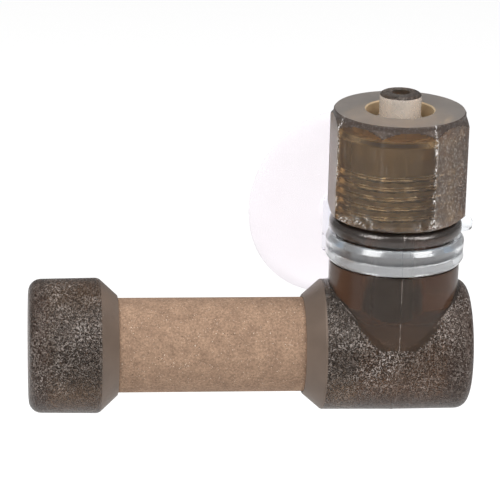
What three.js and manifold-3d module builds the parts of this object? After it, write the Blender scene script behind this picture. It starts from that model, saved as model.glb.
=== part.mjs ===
// Aquarium carbon dioxide diffuser: a smoke plastic tee with a hose nozzle on top, a porous ceramic tube
// closed by an end cap on the left, and a clear swivelling holder with a suction cup at the back.
// Millimetres, +Z up. The neck stands along Z and the ceramic tube lies along X. The origin of the whole
// object is the middle of the suction cup's rim, where the cup meets the glass.

import * as THREE from 'three';
import { mergeVertices } from 'three/addons/utils/BufferGeometryUtils.js';
import Module from 'manifold-3d';

const wasm = await Module();
wasm.setup();

// ---- driving dimensions ----

// Horizontal barrel of the tee, measured from the neck's axis. It is slightly crowned at the parting plane.
const BARREL_RADIUS = 6.5;
const BARREL_CROWN_RADIUS = 6.56;
const BARREL_RIGHT = 7.6;
const BARREL_FILLET = 1.3;
const BARREL_CONE_START = -7.1;
const SOCKET_MOUTH = -8.9;
const CHAMBER_RADIUS = 4.0;
const CHAMBER_LEFT = -3.8;
const CHAMBER_RIGHT = 5.0;

// End cap, which closes the far end of the ceramic tube.
const CAP_RADIUS = 6.72;
const CAP_FAR_RADIUS = 6.62;
const CAP_LEFT = -36.1;
const CAP_FLOOR = -34.2;
const CAP_FILLET = 1.0;
const CAP_CONE_START = -29.2;
const CAP_MOUTH = -27.3;

// Ceramic tube and the flat seals at its two ends.
const CERAMIC_RADIUS = 4.7;
const CERAMIC_BORE_RADIUS = 2.75;
const SOCKET_RADIUS = 4.76;
const SOCKET_LIP = 0.2;
const SEAL_THICKNESS = 0.7;
const SEAL_RADIUS = 4.6;
const SEAL_BORE_RADIUS = 3.1;
const FACE_GAP = 0.05;

// Neck, groove for the holder, and the collar above it.
const NECK_RADIUS = 6.45;
const NECK_FOOT_RADIUS = 6.36;
const NECK_PASSAGE_RADIUS = 2.0;
const NECK_PASSAGE_TOP = 12.5;
const GROOVE_RADIUS = 6.0;
const GROOVE_BOTTOM = 9.1;
const GROOVE_TOP = 12.05;
const COLLAR_RADIUS = 6.55;
const COLLAR_TOP = 13.5;

// Screw thread between the neck and the nut.
const THREAD_PITCH = 1.0;
const THREAD_CORE_RADIUS = 4.4;
const THREAD_CREST_RADIUS = 4.98;
const THREAD_BOTTOM = 14.6;
const THREAD_TOP = 19.9;
const SPIGOT_TOP = 20.3;
const NUT_CORE_RADIUS = 5.16;
const NUT_CREST_RADIUS = 4.6;
const THREAD_CREST_WIDTH = 0.2;
const THREAD_ROOT_WIDTH = 0.56;

// Hose nozzle: a pin for a hose of 4 mm bore, with a wider hub at its foot.
const NOZZLE_RADIUS = 2.05;
const NOZZLE_TOP = 26.1;
const NOZZLE_CHAMFER = 0.3;
const NOZZLE_BORE_RADIUS = 0.85;
const HUB_RADIUS = 2.45;
const HUB_TOP = 23.3;
const HUB_CONE = 0.4;

// Eight-sided compression nut.
const NUT_SIDES = 8;
const NUT_CORNER_RADIUS = 7.0;
const NUT_CORNER_ANGLE = 24;
const NUT_BOTTOM = 13.7;
const NUT_TOP = 24.4;
const NUT_TOP_BAND = 0.47;
const NUT_TOP_CONE = 0.64;
const NUT_BOTTOM_CONE = 0.55;
const NUT_HOLE_RADIUS = 3.32;
const NUT_CAVITY_TOP = 22.5;

// Clamp ring that the nut presses round the hose.
const CLAMP_RADIUS = 4.7;
const CLAMP_BORE_RADIUS = 3.15;
const CLAMP_BOTTOM = 20.6;
const CLAMP_TOP = 22.3;
const CLAMP_CHAMFER = 0.55;

// Clear holder ring, its cup socket and its finger tab. Turned about the neck's axis.
const HOLDER_TURN = 17.65;
const RING_RADIUS = 6.86;
const RING_BORE_RADIUS = 6.12;
const RING_BOTTOM = 9.3;
const RING_TOP = 11.85;
const RING_CREASE = 10.35;
const RING_BEVEL = 0.3;
const BOSS_HALF_WIDTH = 3.4;
const BOSS_BOTTOM = 7.0;
const BOSS_TOP = 12.6;
const BOSS_BACK = 10.5;
const BOSS_CORNER = 0.8;
const BOSS_NECK_CLEARANCE_RADIUS = 6.85;
const POCKET_RADIUS = 2.6;
const POCKET_FRONT = 8.0;
const POCKET_BACK = 9.75;
const SLOT_RADIUS = 1.75;
const TAB_ANGLE = -69.7;
const TAB_REACH = 10.75;
const TAB_HALF_WIDTH = 1.0;
const TAB_BOTTOM = 10.05;
const TAB_TOP = 11.2;

// Suction cup, on an axis that leaves the neck's axis squarely at the holder's height.
const CUP_HEIGHT = 10.5;
const CUP_PLANE = 14.4;
const CUP_RADIUS = 9.7;
const CUP_LIP = 0.8;
const CUP_LIP_THICKNESS = 0.4;
const CUP_HOLLOW_DEPTH = 2.2;
const CUP_HUB_RADIUS = 3.0;
const CUP_HUB_PLANE = 10.8;
const KNOB_NECK_RADIUS = 1.5;
const KNOB_HEAD_RADIUS = 2.4;
const KNOB_HEAD_BACK = 9.55;
const KNOB_HEAD_FRONT = 8.2;

// Facets.
const ROUND_SIDES = 48;
const SMALL_SIDES = 32;
const THREAD_SIDES = 24;
const ARC_STEPS = 4;

// ---- materials ----

const smokePlastic = () => new THREE.MeshStandardMaterial({ color: 0x5b4b43, roughness: 0.4, metalness: 0 });
const ceramicStone = () => new THREE.MeshStandardMaterial({ color: 0xa3856c, roughness: 0.95, metalness: 0 });
const sealRubber = () => new THREE.MeshStandardMaterial({ color: 0xcfc6b4, roughness: 0.6, metalness: 0 });
const clearPlastic = () => new THREE.MeshStandardMaterial({ color: 0xd9dde0, roughness: 0.2, metalness: 0 });
const softVinyl = () => new THREE.MeshStandardMaterial({ color: 0xf3e9f3, roughness: 0.15, metalness: 0 });

// ---- geometry helpers ----

const point = (radius, along) => new THREE.Vector2(radius, along);

// Points of an arc in a turned profile, from one angle to another in degrees.
function arc(centreRadius, centreAlong, radius, from, to) {
  const points = [];
  for (let step = 0; step <= ARC_STEPS; step += 1) {
    const angle = THREE.MathUtils.degToRad(from + ((to - from) * step) / ARC_STEPS);
    points.push(point(centreRadius + radius * Math.cos(angle), centreAlong + radius * Math.sin(angle)));
  }
  return points;
}

// A closed manifold solid from a three.js geometry, with its faces pointing outward.
function solid(geometry) {
  const plain = geometry.clone();
  plain.deleteAttribute('normal');
  plain.deleteAttribute('uv');
  const merged = mergeVertices(plain, 1e-5);
  const corners = merged.index.array;
  const triangles = [];
  for (let at = 0; at < corners.length; at += 3) {
    const [a, b, c] = [corners[at], corners[at + 1], corners[at + 2]];
    if (a !== b && b !== c && c !== a) triangles.push(a, b, c);
  }
  const positions = new Float32Array(merged.attributes.position.array);
  if (signedVolume(positions, triangles) < 0) triangles.reverse();
  const mesh = new wasm.Mesh({
    numProp: 3,
    vertProperties: positions,
    triVerts: new Uint32Array(triangles),
  });
  return new wasm.Manifold(mesh);
}

function signedVolume(positions, triangles) {
  const corner = (index) => new THREE.Vector3().fromArray(positions, 3 * index);
  let total = 0;
  for (let at = 0; at < triangles.length; at += 3) {
    const across = corner(triangles[at]).cross(corner(triangles[at + 1]));
    total += across.dot(corner(triangles[at + 2]));
  }
  return total;
}

function geometryOf(manifold) {
  const mesh = manifold.getMesh();
  const geometry = new THREE.BufferGeometry();
  geometry.setAttribute('position', new THREE.BufferAttribute(mesh.vertProperties, 3));
  geometry.setIndex(new THREE.BufferAttribute(mesh.triVerts, 1));
  return geometry;
}

// A turned solid about the Y, Z or X axis. The profile holds (radius, distance along the axis).
function turned(profile, axis, sides = ROUND_SIDES) {
  const geometry = new THREE.LatheGeometry(profile, sides);
  if (axis === 'z') geometry.rotateX(Math.PI / 2);
  if (axis === 'x') geometry.rotateZ(-Math.PI / 2);
  return solid(geometry);
}

function rod(radius, from, to, axis, sides = ROUND_SIDES) {
  return turned([point(0, from), point(radius, from), point(radius, to), point(0, to)], axis, sides);
}

// A flat ring of rectangular section, turned about an axis.
function washer(bore, radius, from, to, axis) {
  return rod(radius, from, to, axis).subtract(rod(bore, from - 1, to + 1, axis));
}

// An outline drawn seen from above, stood up between two heights.
function upright(shape, bottom, top) {
  const geometry = new THREE.ExtrudeGeometry(shape, {
    depth: top - bottom,
    bevelEnabled: false,
    curveSegments: 2 * ARC_STEPS,
  });
  geometry.translate(0, 0, bottom);
  return solid(geometry);
}

// A right-hand helical ridge that fades into its wall at both ends.
function helicalRidge(rootRadius, crestRadius, bottom, top, phase) {
  const turns = (top - bottom) / THREAD_PITCH;
  const steps = Math.round(turns * THREAD_SIDES);
  const bury = Math.sign(rootRadius - crestRadius) * 0.15;
  const positions = [];
  const triangles = [];
  for (let step = 0; step <= steps; step += 1) {
    const angle = (step / THREAD_SIDES) * 2 * Math.PI + phase;
    const along = bottom + (step / THREAD_SIDES) * THREAD_PITCH;
    const fade = Math.min(1, step / (THREAD_SIDES / 4), (steps - step) / (THREAD_SIDES / 4));
    const crest = THREE.MathUtils.lerp(rootRadius + bury / 2, crestRadius, fade);
    const section = [
      [rootRadius + bury, -THREAD_ROOT_WIDTH / 2],
      [crest, -THREAD_CREST_WIDTH / 2],
      [crest, THREAD_CREST_WIDTH / 2],
      [rootRadius + bury, THREAD_ROOT_WIDTH / 2],
    ];
    for (const [radius, offset] of section) {
      positions.push(radius * Math.cos(angle), radius * Math.sin(angle), along + offset);
    }
  }
  for (let step = 0; step < steps; step += 1) {
    for (let side = 0; side < 4; side += 1) {
      const a = 4 * step + side;
      const b = 4 * step + ((side + 1) % 4);
      triangles.push(a, b, b + 4, a, b + 4, a + 4);
    }
  }
  const last = 4 * steps;
  triangles.push(0, 2, 1, 0, 3, 2);
  triangles.push(last, last + 1, last + 2, last, last + 2, last + 3);
  const geometry = new THREE.BufferGeometry();
  geometry.setAttribute('position', new THREE.Float32BufferAttribute(positions, 3));
  geometry.setIndex(triangles);
  return solid(geometry);
}

function piece(name, manifold, material) {
  const mesh = new THREE.Mesh(geometryOf(manifold), material);
  mesh.name = name;
  return mesh;
}

// ---- pieces ----

// Barrel, neck, collar, thread and hose nozzle, moulded as one piece with the gas way through it.
function teeBody() {
  const barrel = turned([
    point(0, SOCKET_MOUTH),
    point(SOCKET_RADIUS + SOCKET_LIP, SOCKET_MOUTH),
    point(BARREL_RADIUS, BARREL_CONE_START),
    point(BARREL_CROWN_RADIUS, 0),
    ...arc(BARREL_RADIUS - BARREL_FILLET, BARREL_RIGHT - BARREL_FILLET, BARREL_FILLET, 0, 90),
    point(0, BARREL_RIGHT),
  ], 'x');
  const collarMiddle = (GROOVE_TOP + COLLAR_TOP) / 2;
  const collarRound = (COLLAR_TOP - GROOVE_TOP) / 2;
  const neck = turned([
    point(0, 0),
    point(NECK_FOOT_RADIUS, 0),
    point(NECK_RADIUS, GROOVE_BOTTOM - 0.15),
    point(NECK_RADIUS - 0.15, GROOVE_BOTTOM),
    point(GROOVE_RADIUS, GROOVE_BOTTOM),
    point(GROOVE_RADIUS, GROOVE_TOP),
    ...arc(COLLAR_RADIUS - collarRound, collarMiddle, collarRound, -80, 80),
    point(THREAD_CORE_RADIUS, COLLAR_TOP),
    point(THREAD_CORE_RADIUS, SPIGOT_TOP - 0.3),
    point(THREAD_CORE_RADIUS - 0.3, SPIGOT_TOP),
    point(HUB_RADIUS, SPIGOT_TOP),
    point(HUB_RADIUS, HUB_TOP),
    point(NOZZLE_RADIUS, HUB_TOP + HUB_CONE),
    point(NOZZLE_RADIUS, NOZZLE_TOP - NOZZLE_CHAMFER),
    point(NOZZLE_RADIUS - NOZZLE_CHAMFER, NOZZLE_TOP),
    point(0, NOZZLE_TOP),
  ], 'z');
  const thread = helicalRidge(THREAD_CORE_RADIUS, THREAD_CREST_RADIUS, THREAD_BOTTOM, THREAD_TOP, 0);
  return barrel
    .add(neck)
    .add(thread)
    .subtract(rod(SOCKET_RADIUS, SOCKET_MOUTH - 1, CHAMBER_LEFT, 'x'))
    .subtract(rod(CHAMBER_RADIUS, CHAMBER_LEFT - 1, CHAMBER_RIGHT, 'x'))
    .subtract(rod(NECK_PASSAGE_RADIUS, 0, NECK_PASSAGE_TOP, 'z', SMALL_SIDES))
    .subtract(rod(NOZZLE_BORE_RADIUS, NECK_PASSAGE_TOP - 1, NOZZLE_TOP + 1, 'z', SMALL_SIDES));
}

function endCap() {
  const shell = turned([
    point(0, CAP_LEFT),
    ...arc(CAP_FAR_RADIUS - CAP_FILLET, CAP_LEFT + CAP_FILLET, CAP_FILLET, -90, 0),
    point(CAP_RADIUS, CAP_CONE_START - 0.25),
    point(CAP_RADIUS - 0.2, CAP_CONE_START + 0.1),
    point(SOCKET_RADIUS + SOCKET_LIP, CAP_MOUTH),
    point(0, CAP_MOUTH),
  ], 'x');
  return shell.subtract(rod(SOCKET_RADIUS, CAP_FLOOR, CAP_MOUTH + 1, 'x'));
}

const capSealLeft = CAP_FLOOR + FACE_GAP;
const bodySealRight = CHAMBER_LEFT - FACE_GAP;
const ceramicLeft = capSealLeft + SEAL_THICKNESS + FACE_GAP;
const ceramicRight = bodySealRight - SEAL_THICKNESS - FACE_GAP;

function ceramicTube() {
  return washer(CERAMIC_BORE_RADIUS, CERAMIC_RADIUS, ceramicLeft, ceramicRight, 'x');
}

function seal(left) {
  return washer(SEAL_BORE_RADIUS, SEAL_RADIUS, left, left + SEAL_THICKNESS, 'x');
}

function compressionNut() {
  const outline = new THREE.Shape();
  for (let corner = 0; corner < NUT_SIDES; corner += 1) {
    const angle = THREE.MathUtils.degToRad(NUT_CORNER_ANGLE) + (2 * Math.PI * corner) / NUT_SIDES;
    const [x, y] = [NUT_CORNER_RADIUS * Math.cos(angle), NUT_CORNER_RADIUS * Math.sin(angle)];
    if (corner === 0) outline.moveTo(x, y);
    else outline.lineTo(x, y);
  }
  outline.closePath();
  const flatRadius = NUT_CORNER_RADIUS * Math.cos(Math.PI / NUT_SIDES);
  const envelope = turned([
    point(0, NUT_BOTTOM),
    point(flatRadius - 0.1, NUT_BOTTOM),
    point(NUT_CORNER_RADIUS + 0.05, NUT_BOTTOM + NUT_BOTTOM_CONE),
    point(NUT_CORNER_RADIUS + 0.05, NUT_TOP - NUT_TOP_BAND - NUT_TOP_CONE),
    point(flatRadius, NUT_TOP - NUT_TOP_BAND),
    point(flatRadius, NUT_TOP - 0.12),
    point(flatRadius - 0.12, NUT_TOP),
    point(0, NUT_TOP),
  ], 'z');
  const threadedBore = turned([
    point(0, NUT_BOTTOM - 1),
    point(NUT_CORE_RADIUS + 0.3, NUT_BOTTOM - 1),
    point(NUT_CORE_RADIUS + 0.3, NUT_BOTTOM),
    point(NUT_CORE_RADIUS, NUT_BOTTOM + 0.3),
    point(NUT_CORE_RADIUS, NUT_CAVITY_TOP - CLAMP_CHAMFER),
    point(NUT_CORE_RADIUS - CLAMP_CHAMFER, NUT_CAVITY_TOP),
    point(0, NUT_CAVITY_TOP),
  ], 'z');
  const halfPitch = THREAD_PITCH / 2;
  const thread = helicalRidge(
    NUT_CORE_RADIUS,
    NUT_CREST_RADIUS,
    THREAD_BOTTOM - halfPitch,
    THREAD_TOP - halfPitch,
    0,
  );
  return upright(outline, NUT_BOTTOM - 1, NUT_TOP + 1)
    .intersect(envelope)
    .subtract(threadedBore)
    .subtract(rod(NUT_HOLE_RADIUS, NUT_CAVITY_TOP - 1, NUT_TOP + 1, 'z'))
    .add(thread);
}

function clampRing() {
  return turned([
    point(CLAMP_BORE_RADIUS, CLAMP_BOTTOM),
    point(CLAMP_RADIUS, CLAMP_BOTTOM),
    point(CLAMP_RADIUS, CLAMP_TOP - CLAMP_CHAMFER),
    point(CLAMP_RADIUS - CLAMP_CHAMFER, CLAMP_TOP),
    point(CLAMP_BORE_RADIUS, CLAMP_TOP),
    point(CLAMP_BORE_RADIUS, CLAMP_BOTTOM),
  ], 'z');
}

// Ring round the neck, with a socket block behind it that opens upward for the cup's knob.
function holderRing() {
  const ring = turned([
    point(RING_BORE_RADIUS, RING_BOTTOM),
    point(RING_RADIUS - RING_BEVEL, RING_BOTTOM),
    point(RING_RADIUS, RING_CREASE),
    point(RING_RADIUS, RING_TOP - 2 * RING_BEVEL),
    point(RING_RADIUS - RING_BEVEL, RING_TOP),
    point(RING_BORE_RADIUS, RING_TOP),
    point(RING_BORE_RADIUS, RING_BOTTOM),
  ], 'z');
  const block = new THREE.Shape();
  block.moveTo(-BOSS_HALF_WIDTH, 0);
  block.lineTo(BOSS_HALF_WIDTH, 0);
  block.lineTo(BOSS_HALF_WIDTH, BOSS_BACK - BOSS_CORNER);
  block.absarc(BOSS_HALF_WIDTH - BOSS_CORNER, BOSS_BACK - BOSS_CORNER, BOSS_CORNER, 0, Math.PI / 2, false);
  block.absarc(BOSS_CORNER - BOSS_HALF_WIDTH, BOSS_BACK - BOSS_CORNER, BOSS_CORNER, Math.PI / 2, Math.PI, false);
  block.closePath();
  const boss = upright(block, BOSS_BOTTOM, BOSS_TOP).subtract(
    rod(BOSS_NECK_CLEARANCE_RADIUS, BOSS_BOTTOM - 1, BOSS_TOP + 1, 'z'),
  );
  const web = upright(block, RING_BOTTOM, RING_TOP).subtract(
    rod(RING_BORE_RADIUS + 0.3, RING_BOTTOM - 1, RING_TOP + 1, 'z'),
  );
  return ring
    .add(boss)
    .add(web)
    .add(fingerTab())
    .subtract(keyhole(POCKET_RADIUS, POCKET_FRONT, POCKET_BACK))
    .subtract(keyhole(SLOT_RADIUS, POCKET_BACK - 0.5, BOSS_BACK + 1));
}

// A round-bottomed slot along Y that runs out through the top of the socket block.
function keyhole(radius, front, back) {
  const slot = new THREE.Shape();
  slot.moveTo(radius, BOSS_TOP + 1);
  slot.lineTo(radius, CUP_HEIGHT);
  slot.absarc(0, CUP_HEIGHT, radius, 0, -Math.PI, true);
  slot.lineTo(-radius, BOSS_TOP + 1);
  slot.closePath();
  const geometry = new THREE.ExtrudeGeometry(slot, {
    depth: back - front,
    bevelEnabled: false,
    curveSegments: 2 * ARC_STEPS,
  });
  geometry.rotateX(Math.PI / 2);
  geometry.translate(0, back, 0);
  return solid(geometry);
}

function fingerTab() {
  const outline = new THREE.Shape();
  outline.moveTo(-TAB_HALF_WIDTH, RING_BORE_RADIUS + 0.3);
  outline.lineTo(TAB_HALF_WIDTH, RING_BORE_RADIUS + 0.3);
  outline.lineTo(TAB_HALF_WIDTH, TAB_REACH - TAB_HALF_WIDTH);
  outline.absarc(0, TAB_REACH - TAB_HALF_WIDTH, TAB_HALF_WIDTH, 0, Math.PI, false);
  outline.closePath();
  const straight = upright(outline, TAB_BOTTOM, TAB_TOP);
  return straight.rotate([0, 0, TAB_ANGLE]);
}

// Soft cup turned about Y: a thin skirt, a flat lip on the glass and a mushroom knob at the holder's end.
function suctionCup() {
  const hollowRadius = CUP_RADIUS - CUP_LIP;
  const hollow = [0, 0.35, 0.6, 0.82, 1].map((part) => {
    const depth = CUP_HOLLOW_DEPTH * (1 - part * part);
    return point(hollowRadius * part, CUP_PLANE - depth);
  });
  const skirtStart = CUP_PLANE - CUP_LIP_THICKNESS;
  const skirtEnd = CUP_HUB_PLANE + 1.0;
  const skirt = [0, 0.25, 0.5, 0.75, 1].map((part) => {
    const radius = THREE.MathUtils.lerp(CUP_RADIUS, CUP_HUB_RADIUS, part);
    const along = THREE.MathUtils.lerp(skirtStart, skirtEnd, part ** 0.8);
    return point(radius, along);
  });
  return turned([
    ...hollow,
    point(CUP_RADIUS, CUP_PLANE),
    ...skirt,
    point(CUP_HUB_RADIUS - 0.4, CUP_HUB_PLANE),
    point(KNOB_NECK_RADIUS, CUP_HUB_PLANE),
    point(KNOB_NECK_RADIUS, KNOB_HEAD_BACK),
    point(KNOB_HEAD_RADIUS, KNOB_HEAD_BACK),
    point(KNOB_HEAD_RADIUS, KNOB_HEAD_FRONT + 0.5),
    point(KNOB_HEAD_RADIUS - 0.6, KNOB_HEAD_FRONT),
    point(0, KNOB_HEAD_FRONT),
  ], 'y');
}

// ---- assembly ----

const turn = THREE.MathUtils.degToRad(HOLDER_TURN);

const cup = piece('suction_cup', suctionCup(), softVinyl());
cup.position.z = CUP_HEIGHT;

const holderGroup = new THREE.Group();
holderGroup.rotation.z = turn;
holderGroup.add(cup, piece('holder_ring', holderRing(), clearPlastic()));

const assembly = new THREE.Group();
assembly.add(
  holderGroup,
  piece('tee_body', teeBody(), smokePlastic()),
  piece('end_cap', endCap(), smokePlastic()),
  piece('ceramic_tube', ceramicTube(), ceramicStone()),
  piece('body_seal', seal(bodySealRight - SEAL_THICKNESS), sealRubber()),
  piece('cap_seal', seal(capSealLeft), sealRubber()),
  piece('compression_nut', compressionNut(), smokePlastic()),
  piece('clamp_ring', clampRing(), clearPlastic()),
);
assembly.position.set(CUP_PLANE * Math.sin(turn), -CUP_PLANE * Math.cos(turn), -CUP_HEIGHT);

const diffuser = new THREE.Group();
diffuser.add(assembly);

export default diffuser;
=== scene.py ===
"""Looks of an aquarium carbon dioxide diffuser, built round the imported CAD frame.

Shapes are worked out in millimetres in the bench frame, whose origin is the point where the neck's axis
(Z) crosses the barrel's axis (X). The matrices BENCH and HOLDER bring them to the row frame, in metres.
The holder and the cup are worked out facing squarely back, and HOLDER also turns them to their side.
"""
import math

import bmesh
import bpy
from mathutils import Matrix, Vector


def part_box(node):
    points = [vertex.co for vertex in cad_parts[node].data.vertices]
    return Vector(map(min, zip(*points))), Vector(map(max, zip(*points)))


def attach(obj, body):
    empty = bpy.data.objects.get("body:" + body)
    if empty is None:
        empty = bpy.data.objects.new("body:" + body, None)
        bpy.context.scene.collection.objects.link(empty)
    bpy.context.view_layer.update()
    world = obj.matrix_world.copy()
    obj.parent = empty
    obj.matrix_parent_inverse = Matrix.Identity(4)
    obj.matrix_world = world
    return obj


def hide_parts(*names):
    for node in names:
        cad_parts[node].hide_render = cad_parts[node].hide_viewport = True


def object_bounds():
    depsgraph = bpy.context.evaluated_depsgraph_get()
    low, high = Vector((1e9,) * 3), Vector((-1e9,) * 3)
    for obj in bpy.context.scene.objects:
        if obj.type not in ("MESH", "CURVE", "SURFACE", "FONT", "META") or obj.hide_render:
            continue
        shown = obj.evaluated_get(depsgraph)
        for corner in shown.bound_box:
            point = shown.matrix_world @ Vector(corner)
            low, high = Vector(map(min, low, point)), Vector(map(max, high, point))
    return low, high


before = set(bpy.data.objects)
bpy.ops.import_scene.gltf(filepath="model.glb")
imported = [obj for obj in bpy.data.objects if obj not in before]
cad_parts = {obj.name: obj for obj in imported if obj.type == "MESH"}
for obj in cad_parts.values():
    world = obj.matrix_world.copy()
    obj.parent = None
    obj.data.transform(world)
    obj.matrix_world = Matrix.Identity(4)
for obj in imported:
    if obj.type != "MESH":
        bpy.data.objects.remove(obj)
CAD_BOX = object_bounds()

MM = 0.001
STEPS_ROUND = 192       # points round a turned piece
NUT_STEPS_ROUND = 288   # points round the nut, a whole number on each of its sides
NUT_STEPS_UP = 90
NUT_FOOT_STEPS = 4      # steps across the nut's foot, and across its head
NUT_HEAD_STEPS = 8
ARC_STEPS = 6           # steps in a fillet
THROUGH = 20            # a cutter this long goes right through what it cuts
WALL_MARGIN = 0.05      # a face this near a wall is a part of it
CONE_MARGIN = 0.12

# ---- driving sizes, in millimetres in the bench frame ----

BARREL_RADIUS = 6.5
BARREL_CROWN_RADIUS = 6.56
BARREL_RIGHT = 7.6
BARREL_FILLET = 1.3
BARREL_MARGIN = 0.06
GRAIN_EDGE_HEIGHT = 1.45   # the grain stops this far above the barrel's axis, below the neck
GRAIN_EDGE_SPREAD = 1.5    # and runs level for this far to each side
SEAM_HEIGHT = 0.035        # the moulded parting line, on the barrel's crown and down the neck
SEAM_EDGE = 0.12
SEAM_CREST = 0.05
SEAM_SPREAD = math.radians(0.55)
JOINT_REACH = 0.45         # the inside corner of neck and barrel is softened this far round
JOINT_LOWEST = 0.4
JOINT_PASSES = 9
BARREL_CONE_START = -7.1
SOCKET_MOUTH = -8.9
SOCKET_RADIUS = 4.76
SOCKET_LIP_RADIUS = 4.96
CHAMBER_RADIUS = 4.0
CHAMBER_LEFT = -3.8
CHAMBER_RIGHT = 5.0
CHAMBER_STEP = CHAMBER_LEFT + 0.3   # just past the ledge that the seal lies on

CAP_RADIUS = 6.72
CAP_FAR_RADIUS = 6.62
CAP_LEFT = -36.1
CAP_FLOOR = -34.2
CAP_CONE_START = -29.2
CAP_MOUTH = -27.3

CERAMIC_RADIUS = 4.7
CERAMIC_BORE_RADIUS = 2.75
SEAL_RADIUS = 4.6
SEAL_BORE_RADIUS = 3.1
SEAL_THICKNESS = 0.7
FACE_GAP = 0.05

NECK_RADIUS = 6.45
NECK_FOOT_RADIUS = 6.36
NECK_PASSAGE_RADIUS = 2.0
NECK_PASSAGE_TOP = 12.5
GROOVE_RADIUS = 6.0
GROOVE_BOTTOM = 9.1
GROOVE_TOP = 12.05
COLLAR_RADIUS = 6.55
COLLAR_TOP = 13.5

THREAD_PITCH = 1.0
THREAD_CORE_RADIUS = 4.4
THREAD_CREST_RADIUS = 4.98
THREAD_BOTTOM = 14.6
THREAD_TOP = 19.9
THREAD_CREST_WIDTH = 0.2
THREAD_ROOT_WIDTH = 0.56
THREAD_FADE = 0.4
FLANK_MARGIN = 0.1
SPIGOT_TOP = 20.3
NUT_CORE_RADIUS = 5.16
NUT_CREST_RADIUS = 4.6

NOZZLE_RADIUS = 2.05
NOZZLE_TOP = 26.09
NOZZLE_BORE_RADIUS = 0.85
NOZZLE_TIP = 0.3
HUB_RADIUS = 2.45
HUB_TOP = 23.3
HUB_SHOULDER = 0.4

NUT_CORNER_RADIUS = 7.0
NUT_CORNER_ANGLE = 24.0
NUT_BOTTOM = 13.7
NUT_TOP = 24.4
NUT_HOLE_RADIUS = 3.32
NUT_CAVITY_TOP = 22.5
NUT_SIDE_ANGLE = math.pi / 4
NUT_FLAT_RADIUS = NUT_CORNER_RADIUS * math.cos(math.pi / 8)
NUT_TOP_BAND = 0.47
NUT_TOP_MARGIN = 0.02
NUT_EDGE = 0.12             # width of the broken edge round the hose hole
NUT_CORNER_BLEND = 0.14
NUT_TRIM_BLEND = 0.12
NUT_TRIM_SLOPE = 0.12       # a face whose normal stands up more than this is on the trimmed rim
NUT_WALL = 0.3              # what lies this far inside the flats is the nut's inside
NUT_FOOT_CHAMFER = 0.3
NUT_FLANKS = (NUT_CREST_RADIUS + 0.15, NUT_CORE_RADIUS - 0.12)   # radii of the inner thread's flanks
LEVEL = 0.9                 # a face whose normal stands up more than this lies level
ROUGH_NUT_FACES = (1, 3, 6)
GRIPPED_CORNERS = (1, 4, 6)
LIGHT_WEAR = 0.12           # wear of a corner that isn't gripped
WORN_EDGE_WIDTH = 0.15
WORN_FOOT_HEIGHT = 0.5
WORN_FOOT_SPREAD = 0.55
WORN_FOOT_WIDTH = 1.6
BRUISE_ANGLE = 234.0
BRUISE_SPREAD_ANGLE = 7
BRUISE_HEIGHT = 0.7
BRUISE_SPREAD = 0.5

CLAMP_RADIUS = 4.7
CLAMP_BORE_RADIUS = 3.15
CLAMP_BOTTOM = 20.6
CLAMP_TOP = 22.3
CLAMP_CHAMFER = 0.55

HOLDER_TURN = 17.65
RING_RADIUS = 6.85
RING_BORE_RADIUS = 6.12
RING_BOTTOM = 9.3
RING_TOP = 11.85
RING_CREASE = 10.4
RING_BEVEL = 0.55
RING_INSIDE_WALL = RING_BORE_RADIUS + 0.3   # what is joined to the ring starts here, inside its wall
BOSS_HALF_WIDTH = 3.4
BOSS_FRONT = 3.0
BOSS_CORNER = 0.8
BOSS_BOTTOM = 7.0
BOSS_TOP = 12.6
BOSS_BACK = 10.5
BOSS_NECK_CLEARANCE_RADIUS = 6.85
POCKET_RADIUS = 2.6
POCKET_FRONT = 8.0
POCKET_BACK = 9.75
SLOT_RADIUS = 1.75
WEB_INSET = 0.1
TAB_ANGLE = -69.7
TAB_REACH = 10.75
TAB_HALF_WIDTH = 1.0
TAB_BOTTOM = 10.05
TAB_TOP = 11.2

CUP_HEIGHT = 10.5
CUP_PLANE = 14.4
CUP_RADIUS = 9.7
CUP_LIP = 0.8
CUP_HOLLOW_DEPTH = 2.2
CUP_HUB_RADIUS = 3.0
CUP_HUB_PLANE = 10.8
CUP_RIM = 0.4
CUP_SKIRT_END = 1.0
CUP_SKIRT_BEND = 0.8
CUP_STEPS = 24
KNOB_NECK_RADIUS = 1.5
KNOB_HEAD_RADIUS = 2.4
KNOB_HEAD_BACK = 9.55
KNOB_HEAD_FRONT = 8.2


# ---- where the bench frame lies in the row frame ----

def crossing_point():
    """Where the neck's axis crosses the barrel's axis, in metres in the row frame."""
    nut_low, nut_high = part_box("clamp_ring")
    cap_low, cap_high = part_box("end_cap")
    nut_middle = (nut_low + nut_high) / 2
    return Vector((nut_middle.x, nut_middle.y, (cap_low.z + cap_high.z) / 2))


BENCH = Matrix.Translation(crossing_point()) @ Matrix.Scale(MM, 4)
HOLDER = BENCH @ Matrix.Rotation(math.radians(HOLDER_TURN), 4, "Z")
ALONG_Z = Matrix.Identity(4)
ALONG_X = Matrix.Rotation(math.radians(90), 4, "Y")
ALONG_Y = Matrix.Translation((0, 0, CUP_HEIGHT)) @ Matrix.Rotation(math.radians(-90), 4, "X")


# ---- mesh helpers ----

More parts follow.
